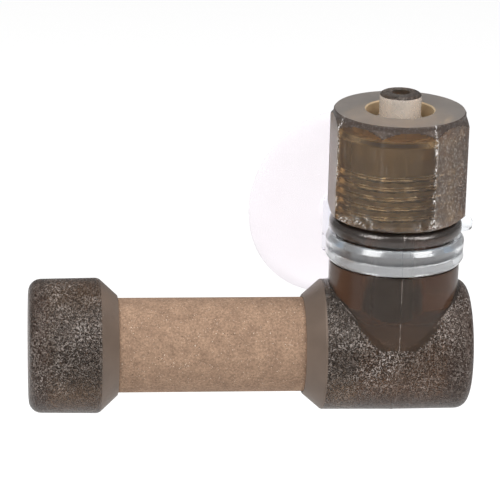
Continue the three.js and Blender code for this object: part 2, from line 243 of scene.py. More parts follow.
def rounded(corners, closed=False):
    """Profile points from (radius, along, fillet) corners. A fillet is an arc tangent to both its sides."""
    points = []
    count = len(corners)
    for index, (radius, along, fillet) in enumerate(corners):
        here = Vector((radius, along))
        at_end = not closed and index in (0, count - 1)
        if at_end or fillet == 0:
            points.append(here)
            continue
        before = Vector(corners[index - 1][:2]) - here
        after = Vector(corners[(index + 1) % count][:2]) - here
        half = before.angle(after) / 2
        reach = fillet / math.tan(half)
        start = here + before.normalized() * reach
        end = here + after.normalized() * reach
        centre = here + (before.normalized() + after.normalized()).normalized() * fillet / math.sin(half)
        first = start - centre
        turn = first.angle_signed(end - centre)
        for step in range(ARC_STEPS + 1):
            points.append(centre + Matrix.Rotation(-turn * step / ARC_STEPS, 2) @ first)
    return points


def divided(points, spacing, closed=False):
    """The same profile with its long straight runs cut into steps no longer than spacing."""
    result = []
    pairs = list(zip(points, points[1:] + points[:1])) if closed else list(zip(points, points[1:]))
    for start, end in pairs:
        steps = max(1, math.ceil((end - start).length / spacing))
        result += [start.lerp(end, step / steps) for step in range(steps)]
    return result if closed else result + [points[-1]]


def even_angles(count=STEPS_ROUND):
    return [2 * math.pi * step / count for step in range(count)]


def swept_rows(rows, closed):
    """Vertices and faces of a surface from rows of points round an axis. A row of one point is a pole."""
    vertices = []
    starts = []
    for row in rows:
        starts.append(len(vertices))
        vertices += row
    faces = []
    pairs = list(zip(range(len(rows)), range(1, len(rows))))
    if closed:
        pairs.append((len(rows) - 1, 0))
    for low, high in pairs:
        below, above = len(rows[low]), len(rows[high])
        for side in range(max(below, above)):
            corners = [starts[low] + side % below]
            if below > 1:
                corners.append(starts[low] + (side + 1) % below)
            corners.append(starts[high] + (side + 1) % above)
            if above > 1:
                corners.append(starts[high] + side % above)
            faces.append(corners)
    return vertices, faces


def turned(profile, axis=ALONG_Z, closed=False, angles=None, radius_at=None):
    """A mesh turned about an axis. radius_at(radius, along, angle) may change the radius on the way round."""
    angles = angles or even_angles()
    rows = []
    for radius, along in profile:
        if radius < 1e-6:
            rows.append([axis @ Vector((0, 0, along))])
            continue
        row = []
        for angle in angles:
            r = radius_at(radius, along, angle) if radius_at else radius
            row.append(axis @ Vector((r * math.cos(angle), r * math.sin(angle), along)))
        rows.append(row)
    return mesh_from(*swept_rows(rows, closed))


def mesh_from(vertices, faces):
    mesh = bpy.data.meshes.new("shape")
    mesh.from_pydata(vertices, [], faces)
    edit = bmesh.new()
    edit.from_mesh(mesh)
    bmesh.ops.recalc_face_normals(edit, faces=edit.faces)
    if edit.calc_volume(signed=True) < 0:
        bmesh.ops.reverse_faces(edit, faces=edit.faces)
    edit.to_mesh(mesh)
    edit.free()
    return mesh


def combined(mesh, others, operation):
    """The mesh joined with the others (UNION) or cut by them (DIFFERENCE)."""
    body = bpy.data.objects.new("body", mesh)
    bpy.context.scene.collection.objects.link(body)
    tools = []
    for other in others:
        tool = bpy.data.objects.new("tool", other)
        bpy.context.scene.collection.objects.link(tool)
        tools.append(tool)
        cut = body.modifiers.new("cut", "BOOLEAN")
        cut.operation = operation
        cut.solver = "MANIFOLD"
        cut.object = tool
    result = bpy.data.meshes.new_from_object(body.evaluated_get(bpy.context.evaluated_depsgraph_get()))
    for spare in [body, *tools]:
        bpy.data.objects.remove(spare)
    return result


def rod(radius, start, end, axis=ALONG_Z):
    return turned([Vector(p) for p in ((0, start), (radius, start), (radius, end), (0, end))], axis)


def prism(outline, low, high, bevel, turn=Matrix.Identity(4)):
    """An outline in the XY plane stood up between two heights, with softened edges."""
    edit = bmesh.new()
    face = edit.faces.new([edit.verts.new((x, y, low)) for x, y in outline])
    grown = bmesh.ops.extrude_face_region(edit, geom=[face])
    raised = [v for v in grown["geom"] if isinstance(v, bmesh.types.BMVert)]
    bmesh.ops.translate(edit, verts=raised, vec=(0, 0, high - low))
    bmesh.ops.recalc_face_normals(edit, faces=edit.faces)
    if bevel:
        sharp = [edge for edge in edit.edges if edge.calc_face_angle(0) > math.radians(40)]
        bmesh.ops.bevel(edit, geom=sharp, offset=bevel, segments=4, profile=0.5, affect="EDGES")
    bmesh.ops.transform(edit, matrix=turn, verts=edit.verts)
    mesh = bpy.data.meshes.new("prism")
    edit.to_mesh(mesh)
    edit.free()
    return mesh


def arc_points(centre_x, centre_y, radius, start, end, steps=12):
    angles = [math.radians(start + (end - start) * step / steps) for step in range(steps + 1)]
    return [(centre_x + radius * math.cos(a), centre_y + radius * math.sin(a)) for a in angles]


def soft_min(a, b, blend):
    """The smaller of two numbers, with the corner between them rounded off."""
    share = max(blend - abs(a - b), 0.0) / blend
    return min(a, b) - share * share * blend / 4


def show(name, mesh, place, body, node, material_at, sharp_angle=35):
    """Makes a finished piece that stands for a CAD node and rides on its body.

    material_at is the piece's one material, or a function that picks a face's material from its centre
    and normal in the bench frame. place brings the mesh from there to the row frame.
    """
    choose = material_at if callable(material_at) else lambda centre, normal: material_at
    picks = [choose(face.center, face.normal) for face in mesh.polygons]
    materials = sorted(set(picks), key=lambda material: material.name)
    mesh.transform(place)
    mesh.polygons.foreach_set("use_smooth", [True] * len(mesh.polygons))
    mesh.set_sharp_from_angle(angle=math.radians(sharp_angle))
    mesh.materials.clear()
    for material in materials:
        mesh.materials.append(material)
    mesh.polygons.foreach_set("material_index", [materials.index(material) for material in picks])
    piece = bpy.data.objects.new(name, mesh)
    mesh.name = name
    bpy.context.scene.collection.objects.link(piece)
    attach(piece, body)
    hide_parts(node)


# ---- node helpers for materials ----

class Nodes:
    """Short calls for building one material's node tree."""

    def __init__(self, name):
        self.material = bpy.data.materials.new(name)
        self.material.use_nodes = True
        self.tree = self.material.node_tree
        self.shader = self.tree.nodes["Principled BSDF"]
        self.output = self.tree.nodes["Material Output"]
        self.place = self.add("ShaderNodeTexCoord").outputs["Object"]

    def add(self, kind, **settings):
        node = self.tree.nodes.new(kind)
        for key, value in settings.items():
            setattr(node, key, value)
        return node

    def link(self, source, target):
        self.tree.links.new(source, target)

    def set(self, **values):
        for key, value in values.items():
            self.shader.inputs[key.replace("_", " ")].default_value = value

    def noise(self, size, detail=2.0, roughness=0.5, distortion=0.0):
        """Noise whose lumps are about size millimetres across."""
        node = self.add("ShaderNodeTexNoise")
        node.inputs["Scale"].default_value = 1 / (size * MM)
        node.inputs["Detail"].default_value = detail
        node.inputs["Roughness"].default_value = roughness
        node.inputs["Distortion"].default_value = distortion
        self.link(self.place, node.inputs["Vector"])
        return node.outputs["Fac"]

    def cells(self, size):
        """Distance from the middle of the nearest of many cells, about size millimetres across."""
        node = self.add("ShaderNodeTexVoronoi")
        node.inputs["Scale"].default_value = 1 / (size * MM)
        self.link(self.place, node.inputs["Vector"])
        return node.outputs["Distance"]

    def ramp(self, value, *stops):
        """A colour ramp from (position, colour) stops. A single number stands for a grey."""
        node = self.add("ShaderNodeValToRGB")
        elements = node.color_ramp.elements
        while len(elements) < len(stops):
            elements.new(0.5)
        for element, (position, colour) in zip(elements, stops):
            element.position = position
            tint = colour if isinstance(colour, tuple) else (colour, colour, colour)
            element.color = (*tint, 1)
        self.link(value, node.inputs["Fac"])
        return node.outputs["Color"]

    def math(self, operation, a, b):
        node = self.add("ShaderNodeMath", operation=operation)
        for socket, value in zip(node.inputs, (a, b)):
            if isinstance(value, (int, float)):
                socket.default_value = value
            else:
                self.link(value, socket)
        return node.outputs["Value"]

    def spread(self, value, low, high):
        """A value from 0 to 1 brought to the range from low to high."""
        node = self.add("ShaderNodeMapRange")
        node.inputs["To Min"].default_value = low
        node.inputs["To Max"].default_value = high
        self.link(value, node.inputs["Value"])
        return node.outputs["Result"]

    def bump(self, height, depth, under=None):
        """Relief of depth millimetres, laid over an earlier bump if one is given."""
        node = self.add("ShaderNodeBump")
        node.inputs["Distance"].default_value = depth * MM
        node.inputs["Strength"].default_value = 1.0
        self.link(height, node.inputs["Height"])
        if under:
            self.link(under, node.inputs["Normal"])
        self.link(node.outputs["Normal"], self.shader.inputs["Normal"])
        return node.outputs["Normal"]

    def mix_colour(self, share, a, b):
        node = self.add("ShaderNodeMix", data_type="RGBA")
        for socket, value in ((node.inputs[0], share), (node.inputs[6], a), (node.inputs[7], b)):
            if isinstance(value, tuple):
                socket.default_value = (*value, 1)
            elif isinstance(value, (int, float)):
                socket.default_value = value
            else:
                self.link(value, socket)
        return node.outputs[2]

    def absorb(self, colour, density):
        """Light is taken up inside the solid, so that thick walls are darker than thin ones."""
        node = self.add("ShaderNodeVolumeAbsorption")
        node.inputs["Color"].default_value = (*colour, 1)
        node.inputs["Density"].default_value = density
        self.link(node.outputs["Volume"], self.output.inputs["Volume"])


# ---- materials ----

SMOKE_TINT = (0.77, 0.675, 0.525)
NUT_TINT = (0.90, 0.83, 0.70)
SMOKE_DENSITY = 1000.0
SMOKE_IOR = 1.47
SMOKE_GLEAM = (0.84, 0.70, 0.62, 1)
# colour of the sparkle painted on the crests of the grain, a painted highlight
SPARKLE_COLOUR = (0.74, 0.68, 0.64)
SEAM_COLOUR = (0.62, 0.56, 0.52)
SEAM_HALF_WIDTH = 0.045
# the painted sparkle highlights fade out over this depth below the barrel's axis, so that the upper side looks
# lit
SPARKLE_FADE_HEIGHT = 5.0
BRUISE_COLOUR = (0.93, 0.91, 0.89)


def smoke_plastic(
    name, colour, haze, roughness, relief_depth, relief_size, sparkle_share=0.0, coat=0.0, coat_ior=1.5
):
    """Smoke brown translucent plastic, whose colour is in its depth.

    haze is the share of light that the skin scatters, and the sparkle share is that share on the crests of the
    grain, which are painted pale as sparkle highlights, fading out towards the bottom as if lit from above;
    the grain's hollows are painted darker as shade. A pale parting line runs round it at the middle of the
    neck.
    """
    n = Nodes(name)
    n.set(IOR=SMOKE_IOR, Specular_Tint=SMOKE_GLEAM, Coat_Weight=coat, Coat_Roughness=0.2, Coat_IOR=coat_ior)
    n.absorb(SMOKE_TINT, SMOKE_DENSITY)
    worm = n.noise(relief_size, detail=1.0, distortion=1.4)
    thick = n.ramp(n.noise(4.0), (0.38, 0.35), (0.62, 0.95))
    apart = n.add("ShaderNodeSeparateXYZ")
    n.link(n.place, apart.inputs["Vector"])
    # Painted highlight: the sparkle is full on the upper side and fades out towards the bottom, as if lit from
    # above.
    above_keel = n.math("SUBTRACT", apart.outputs["Z"], crossing_point().z - SPARKLE_FADE_HEIGHT * MM)
    lit_from_above = n.ramp(n.math("DIVIDE", above_keel, SPARKLE_FADE_HEIGHT * MM), (0.15, 0.2), (0.75, 1.0))
    crest = n.math("MULTIPLY", n.ramp(worm, (0.545, 0.0), (0.615, 1.0)), n.math("MULTIPLY", thick, lit_from_above))
    dark, light = (tuple(c * k for c in colour) for k in (0.88, 1.08))
    cloud = n.ramp(n.noise(2.5, detail=3.0), (0.3, dark), (0.7, light))
    skin = cloud
    if sparkle_share:
        # Painted shade: the hollows of the grain are darkened.
        hollow = n.ramp(worm, (0.38, 0.28), (0.52, 1.0))
        shaded = n.add("ShaderNodeMix", data_type="RGBA", blend_type="MULTIPLY")
        shaded.inputs[0].default_value = 1.0
        n.link(cloud, shaded.inputs[6])
        n.link(hollow, shaded.inputs[7])
        # Painted highlight: the crests of the grain are painted pale as sparkle.
        skin = n.mix_colour(crest, shaded.outputs[2], SPARKLE_COLOUR)
    off_seam = n.math("ABSOLUTE", n.math("SUBTRACT", apart.outputs["X"], crossing_point().x), 0.0)
    line = n.ramp(n.math("DIVIDE", off_seam, SEAM_HALF_WIDTH * 2 * MM), (0.3, 1.0), (0.6, 0.0))
    seam = n.math("MULTIPLY", line, n.ramp(n.noise(0.9, detail=3.0), (0.42, 0.0), (0.58, 0.5)))
    n.link(n.mix_colour(seam, skin, SEAM_COLOUR), n.shader.inputs["Base Color"])
    # The painted sparkle also lets less light through.
    specks = n.math("MULTIPLY", crest, max(0.0, sparkle_share - haze))
    marks = n.math("MAXIMUM", specks, n.math("MULTIPLY", seam, 0.4))
    n.link(n.math("SUBTRACT", 1.0 - haze, marks), n.shader.inputs["Transmission Weight"])
    n.link(n.spread(n.noise(0.6, detail=4.0), *roughness), n.shader.inputs["Roughness"])
    n.link(n.bump(worm, relief_depth), n.shader.inputs["Coat Normal"])
    return n.material


def worn_nut_plastic(name, colour, haze, roughness, relief_depth, sparkle_share, ior=SMOKE_IOR):
    """The nut's smoke plastic, with fine upright scratches, white bruises on its gripped corners, and a fine
    grain whose crests are painted pale as sparkle highlights.
    """
    n = Nodes(name)
    n.set(IOR=ior, Specular_Tint=SMOKE_GLEAM)
    n.absorb(NUT_TINT, SMOKE_DENSITY)
    wear = n.add("ShaderNodeAttribute", attribute_name="edge_wear").outputs["Fac"]
    specks = n.ramp(n.noise(0.18, detail=3.0, roughness=0.6), (0.50, 0.0), (0.58, 1.0))
    patches = n.ramp(n.noise(1.3), (0.40, 0.0), (0.54, 1.0))
    bruise = n.math("MULTIPLY", n.math("MULTIPLY", specks, patches), wear)
    stretch = n.add("ShaderNodeMapping")
    stretch.inputs["Scale"].default_value = (1.0, 1.0, 0.04)
    n.link(n.place, stretch.inputs["Vector"])
    streaks = n.add("ShaderNodeTexNoise")
    streaks.inputs["Scale"].default_value = 1 / (0.12 * MM)
    n.link(stretch.outputs["Vector"], streaks.inputs["Vector"])
    scratch = n.math("MULTIPLY", n.ramp(streaks.outputs["Fac"], (0.60, 0.0), (0.72, 1.0)), 0.06)
    # Painted highlight: the crests of this grain are painted white as sparkle, as much as the sparkle share
    # gives.
    grain = n.ramp(n.noise(0.19, detail=1.0, distortion=0.3), (0.55, 0.0), (0.62, 1.0))

    def marks(grain_share):
        return n.math("MAXIMUM", bruise, n.math("ADD", scratch, n.math("MULTIPLY", grain, grain_share)))

    # white holds the bruises and scratches, which are wear, and the painted sparkle of the grain.
    white = marks(min(1.0, 2.5 * sparkle_share))
    lost = marks(sparkle_share)
    dark, light = (tuple(c * k for c in colour) for k in (0.9, 1.05))
    cloud = n.ramp(n.noise(2.5, detail=3.0), (0.3, dark), (0.7, light))
    n.link(n.mix_colour(white, cloud, BRUISE_COLOUR), n.shader.inputs["Base Color"])
    n.link(n.math("SUBTRACT", 1.0 - haze, lost), n.shader.inputs["Transmission Weight"])
    n.link(n.spread(n.noise(0.5, detail=4.0), *roughness), n.shader.inputs["Roughness"])
    n.bump(n.noise(0.25, detail=3.0, roughness=0.6, distortion=0.6), relief_depth)
    return n.material


CERAMIC_DARK = (0.24, 0.154, 0.104)
CERAMIC_LIGHT = (0.33, 0.216, 0.145)
# the painted shade inside the ceramic's pores
PORE_SHADE_COLOUR = (0.10, 0.065, 0.045)
CRYSTAL_COLOUR = (0.62, 0.50, 0.40)


def porous_ceramic():
    """Tan sintered ceramic: fine grains, pores painted dark as shade, and a few pale crystals."""
    n = Nodes("porous_ceramic")
    n.set(Roughness=0.95, Specular_IOR_Level=0.25)
    tone = n.ramp(n.noise(1.4, detail=4.0, roughness=0.65), (0.32, CERAMIC_DARK), (0.68, CERAMIC_LIGHT))
    grain = n.ramp(n.noise(0.22, detail=3.0, roughness=0.7), (0.35, 0.72), (0.65, 1.18))
    mixed = n.add("ShaderNodeMix", data_type="RGBA", blend_type="MULTIPLY")
    mixed.inputs[0].default_value = 1.0
    n.link(tone, mixed.inputs[6])
    n.link(grain, mixed.inputs[7])
    # Painted shade: the pores, which the bump below sinks in, are darkened.
    pores = n.ramp(n.cells(0.33), (0.1, 1.0), (0.2, 0.0))
    pore_patches = n.ramp(n.noise(0.9), (0.5, 0.0), (0.62, 1.0))
    dark = n.mix_colour(n.math("MULTIPLY", pores, pore_patches), mixed.outputs[2], PORE_SHADE_COLOUR)
    crystals = n.ramp(n.noise(0.13, detail=1.0), (0.70, 0.0), (0.76, 1.0))
    n.link(n.mix_colour(crystals, dark, CRYSTAL_COLOUR), n.shader.inputs["Base Color"])
    under = n.bump(n.noise(0.2, detail=4.0, roughness=0.7), depth=0.05)
    n.bump(n.math("SUBTRACT", 1.0, pores), depth=0.03, under=under)
    return n.material


def clear_plastic(name, ior, milk, coat=0.0):
    """Clear, slightly milky hard plastic of the holder, with faint flow lines from moulding."""
    n = Nodes(name)
    n.set(IOR=ior, Transmission_Weight=1.0 - milk, Coat_Weight=coat, Coat_Roughness=0.22, Coat_IOR=2.0)
    n.absorb((0.75, 0.85, 0.9), density=60.0)
    tone = n.ramp(n.noise(3.0), (0.3, (0.94, 0.96, 0.98)), (0.7, (0.99, 0.99, 1.0)))
    n.link(tone, n.shader.inputs["Base Color"])
    n.link(n.spread(n.noise(1.0, detail=3.0), low=0.04, high=0.14), n.shader.inputs["Roughness"])
    n.bump(n.noise(2.5, distortion=0.8), depth=0.01)
    return n.material


def soft_vinyl():
    """Clear soft vinyl of the suction cup, faintly lavender."""
    n = Nodes("soft_vinyl")
    n.set(IOR=1.2, Transmission_Weight=0.96)
    n.absorb((0.80, 0.62, 0.80), density=25.0)
    tone = n.ramp(n.noise(5.0), (0.3, (0.945, 0.90, 0.935)), (0.7, (0.975, 0.935, 0.97)))
    n.link(tone, n.shader.inputs["Base Color"])
    n.link(n.spread(n.noise(2.0, detail=3.0), low=0.12, high=0.25), n.shader.inputs["Roughness"])
    n.bump(n.noise(2.5), depth=0.02)
    return n.material


def silicone():
    """Milky silicone rubber of the two seals."""
    n = Nodes("silicone")
    n.set(Subsurface_Weight=0.3, Subsurface_Scale=0.0005)
    tone = n.ramp(n.noise(0.8, detail=3.0), (0.3, (0.55, 0.5, 0.42)), (0.7, (0.7, 0.66, 0.58)))
    n.link(tone, n.shader.inputs["Base Color"])
    n.link(n.spread(n.noise(0.4), low=0.45, high=0.65), n.shader.inputs["Roughness"])
    n.bump(n.noise(0.15), depth=0.01)
    return n.material


# ---- pieces ----

def ridge_share(along, angle, low, high):
    """How far a helical ridge stands up at this place, from 0 at its wall to 1 on its crest."""
    turns = (along - low) / THREAD_PITCH - angle / (2 * math.pi)
    away = abs(turns - round(turns)) * THREAD_PITCH
    slope = (THREAD_ROOT_WIDTH - THREAD_CREST_WIDTH) / 2
    height = min(1.0, max(0.0, (THREAD_ROOT_WIDTH / 2 - away) / slope))
    fade = min(1.0, max(0.0, (along - low) / THREAD_FADE), max(0.0, (high - along) / THREAD_FADE))
    return height * fade


def seam_angles():
    """Even angles, with extra ones round the parting line at the front and the back of the neck."""
    extra = [math.radians(middle + off) for middle in (90, 270) for off in (-1.2, -0.8, -0.4, 0.4, 0.8, 1.2)]
    return sorted(even_angles() + extra)


def bell(away, spread):
    """1 where away is 0, falling smoothly to almost nothing at twice the spread."""
    return math.exp(-((away / spread) ** 2))


def seam_height(angle):
    away = min(abs(angle - math.radians(middle)) for middle in (90, 270))
    return SEAM_HEIGHT * bell(away, SEAM_SPREAD)


def neck_shape():
    """The neck, collar, spigot and nozzle, with the spigot's thread and the parting line of the neck."""
    collar_fillet = (COLLAR_TOP - GROOVE_TOP) * 0.48   # almost a half round
    outside_hub = HUB_RADIUS + 1                       # tells the spigot's wall from the hub in it
    corners = [
        (0, 0, 0),
        (NECK_FOOT_RADIUS, 0, 0),
        (NECK_RADIUS, GROOVE_BOTTOM, 0.15),
        (GROOVE_RADIUS, GROOVE_BOTTOM, 0.1),
        (GROOVE_RADIUS, GROOVE_TOP, 0.1),
        (COLLAR_RADIUS, GROOVE_TOP, collar_fillet * 0.7),
        (COLLAR_RADIUS, COLLAR_TOP, collar_fillet),
        (THREAD_CORE_RADIUS, COLLAR_TOP, 0.1),
        (THREAD_CORE_RADIUS, SPIGOT_TOP, 0.3),
        (HUB_RADIUS, SPIGOT_TOP, 0.15),
        (HUB_RADIUS, HUB_TOP, 0.15),
        (NOZZLE_RADIUS, HUB_TOP + HUB_SHOULDER, 0.15),
        (NOZZLE_RADIUS, NOZZLE_TOP, 0.35),
        (0, NOZZLE_TOP, 0),
    ]

    def radius_at(radius, along, angle):
        """Adds the thread to the spigot's wall, and the parting line to the neck below it."""
        if along > COLLAR_TOP and radius > outside_hub:
            share = ridge_share(along, angle, THREAD_BOTTOM, THREAD_TOP)
            return radius + share * (THREAD_CREST_RADIUS - THREAD_CORE_RADIUS)
        if radius > GROOVE_RADIUS - 0.5 and along < COLLAR_TOP:
            return radius + seam_height(angle)
        return radius

    coarse = rounded(corners)
    points = []
    for start, end in zip(coarse, coarse[1:]):
        threaded = min(start.y, end.y) > COLLAR_TOP and max(start.y, end.y) < SPIGOT_TOP
        points += divided([start, end], spacing=0.05 if threaded and start.x > outside_hub else 0.3)[:-1]
    points.append(coarse[-1])
    return turned(points, ALONG_Z, angles=seam_angles(), radius_at=radius_at)


def barrel_shape():
    """The barrel with its conical mouth, and the parting line round its crown."""
    seam = [(0.0, -SEAM_EDGE), (SEAM_HEIGHT, -SEAM_CREST), (SEAM_HEIGHT, SEAM_CREST), (0.0, SEAM_EDGE)]
    corners = [
        (0, SOCKET_MOUTH, 0),
        (SOCKET_LIP_RADIUS, SOCKET_MOUTH, 0.08),
        (BARREL_RADIUS, BARREL_CONE_START, 0.35),
        *[(BARREL_CROWN_RADIUS + height, along, 0) for height, along in seam],
        (BARREL_RADIUS, BARREL_RIGHT, BARREL_FILLET),
        (0, BARREL_RIGHT, 0),
    ]
    return turned(divided(rounded(corners), spacing=0.25), ALONG_X)


def soften_joint(mesh):
    """Rounds the inside corner where the neck runs into the barrel."""
    edit = bmesh.new()
    edit.from_mesh(mesh)
    bmesh.ops.triangulate(edit, faces=[face for face in edit.faces if len(face.verts) > 4])

    def near(vertex):
        x, y, z = vertex.co
        from_neck = math.hypot(x, y) - NECK_RADIUS
        from_barrel = math.hypot(y, z) - BARREL_RADIUS
        return z > JOINT_LOWEST and abs(from_neck) < JOINT_REACH and abs(from_barrel) < JOINT_REACH

    joint = [vertex for vertex in edit.verts if near(vertex)]
    every_way = {"use_axis_x": True, "use_axis_y": True, "use_axis_z": True}
    for _ in range(JOINT_PASSES):
        bmesh.ops.smooth_vert(edit, verts=joint, factor=0.5, **every_way)
    edit.to_mesh(mesh)
    edit.free()
    return mesh


def make_tee(pebbled, frosted, smooth, gloss, pin, thread, chamber_glow, inner):
    outer = soften_joint(combined(barrel_shape(), [neck_shape()], "UNION"))
    hollows = [
        rod(SOCKET_RADIUS, SOCKET_MOUTH - 1, CHAMBER_LEFT, ALONG_X),
        rod(CHAMBER_RADIUS, CHAMBER_LEFT - 1, CHAMBER_RIGHT, ALONG_X),
        rod(NECK_PASSAGE_RADIUS, 0, NECK_PASSAGE_TOP),
        rod(NOZZLE_BORE_RADIUS, NECK_PASSAGE_TOP - 1, NOZZLE_TOP + 1),
    ]
    mesh = combined(outer, hollows, "DIFFERENCE")

    def choose(centre, normal):
        x, y, z = centre
        from_neck = math.hypot(x, y)
        from_barrel = math.hypot(y, z)
        if z > SPIGOT_TOP:
            if from_neck < NOZZLE_BORE_RADIUS + WALL_MARGIN:
                return inner
            return pebbled if z > NOZZLE_TOP - NOZZLE_TIP else pin
        if from_neck < NECK_PASSAGE_RADIUS + WALL_MARGIN and z > CHAMBER_RADIUS:
            return inner
        if from_barrel < SOCKET_RADIUS + WALL_MARGIN and SOCKET_MOUTH < x < CHAMBER_RIGHT + WALL_MARGIN:
            # Painted light: the chamber's wall past the ledge is painted a pale amber, as a glow.
            return chamber_glow if x > CHAMBER_STEP else inner
        if z > COLLAR_TOP + WALL_MARGIN:
            on_flank = THREAD_CORE_RADIUS + FLANK_MARGIN < from_neck < THREAD_CREST_RADIUS - FLANK_MARGIN
            return gloss if on_flank else thread
        if z > GROOVE_BOTTOM:
            return gloss
        if x < BARREL_CONE_START + CONE_MARGIN:
            return frosted
        grain_edge = (GRAIN_EDGE_HEIGHT ** 4 + max(0.0, x * x - GRAIN_EDGE_SPREAD ** 2) ** 2) ** 0.25
        on_barrel = from_barrel < BARREL_CROWN_RADIUS + BARREL_MARGIN
        return pebbled if on_barrel and z < grain_edge else smooth

    show("tee_housing", mesh, BENCH, "tee", "tee_body", choose)


def make_end_cap(pebbled, frosted, inner):
    outer = rounded([
        (0, CAP_LEFT, 0),
        (CAP_FAR_RADIUS, CAP_LEFT, 1.25),
        (CAP_RADIUS, CAP_CONE_START, 0.8),
        (SOCKET_LIP_RADIUS, CAP_MOUTH, 0.08),
        (SOCKET_RADIUS, CAP_MOUTH, 0),
        (SOCKET_RADIUS, CAP_FLOOR, 0.1),
        (0, CAP_FLOOR, 0),
    ])

    def choose(centre, normal):
        x, y, z = centre
        if math.hypot(y, z) < SOCKET_RADIUS + WALL_MARGIN and x > CAP_FLOOR - WALL_MARGIN:
            return inner
        return frosted if x > CAP_CONE_START + CONE_MARGIN else pebbled

    mesh = turned(divided(outer, spacing=0.3), ALONG_X)
    show("cap_housing", mesh, BENCH, "tee", "end_cap", choose)


def ring_shape(bore, radius, start, end, fillet):
    """A ring along the barrel's axis, with rounded edges."""
    corners = [
        (bore, start, fillet),
        (radius, start, fillet),
        (radius, end, fillet),
        (bore, end, fillet),
    ]
    profile = divided(rounded(corners, closed=True), spacing=0.4, closed=True)
    return turned(profile, ALONG_X, closed=True)


def make_ceramic(material):
    left = CAP_FLOOR + SEAL_THICKNESS + 2 * FACE_GAP
    right = CHAMBER_LEFT - SEAL_THICKNESS - 2 * FACE_GAP
    mesh = ring_shape(CERAMIC_BORE_RADIUS, CERAMIC_RADIUS, left, right, fillet=0.12)
    show("porous_tube", mesh, BENCH, "tee", "ceramic_tube", material)


def make_seals(material):
    starts = {"body_seal": CHAMBER_LEFT - FACE_GAP - SEAL_THICKNESS, "cap_seal": CAP_FLOOR + FACE_GAP}
    for node, start in starts.items():
        mesh = ring_shape(SEAL_BORE_RADIUS, SEAL_RADIUS, start, start + SEAL_THICKNESS, fillet=0.2)
        show(f"{node}_ring", mesh, BENCH, "tee", node, material)


def octagon_radius(angle):
    """Distance from the nut's axis to its eight-sided outline, with softened corners."""
    half = NUT_SIDE_ANGLE / 2
    from_corner = (angle - math.radians(NUT_CORNER_ANGLE)) % NUT_SIDE_ANGLE
    here = NUT_FLAT_RADIUS / math.cos(from_corner - half)
    beside = NUT_FLAT_RADIUS / math.cos(min(from_corner, NUT_SIDE_ANGLE - from_corner) + half)
    return soft_min(here, beside, NUT_CORNER_BLEND)


def envelope_radius(along):
    """Turned outline that trims the nut's corners at its foot and its head."""
    untrimmed = NUT_CORNER_RADIUS + 0.1
    stations = [
        (NUT_BOTTOM, NUT_FLAT_RADIUS - 0.22),
        (NUT_BOTTOM + 0.08, NUT_FLAT_RADIUS - 0.08),
        (NUT_BOTTOM + 0.55, untrimmed),
        (NUT_TOP - 1.22, untrimmed),
        (NUT_TOP - NUT_TOP_BAND, NUT_FLAT_RADIUS + 0.02),
        (NUT_TOP - 0.10, NUT_FLAT_RADIUS),
        (NUT_TOP, NUT_FLAT_RADIUS - 0.1),
    ]
    for (low, low_radius), (high, high_radius) in zip(stations, stations[1:]):
        if along <= high:
            share = (along - low) / (high - low)
            return low_radius + (high_radius - low_radius) * share
    return stations[-1][1]


def nut_outside(along, angle):
    return soft_min(octagon_radius(angle), envelope_radius(along), NUT_TRIM_BLEND)


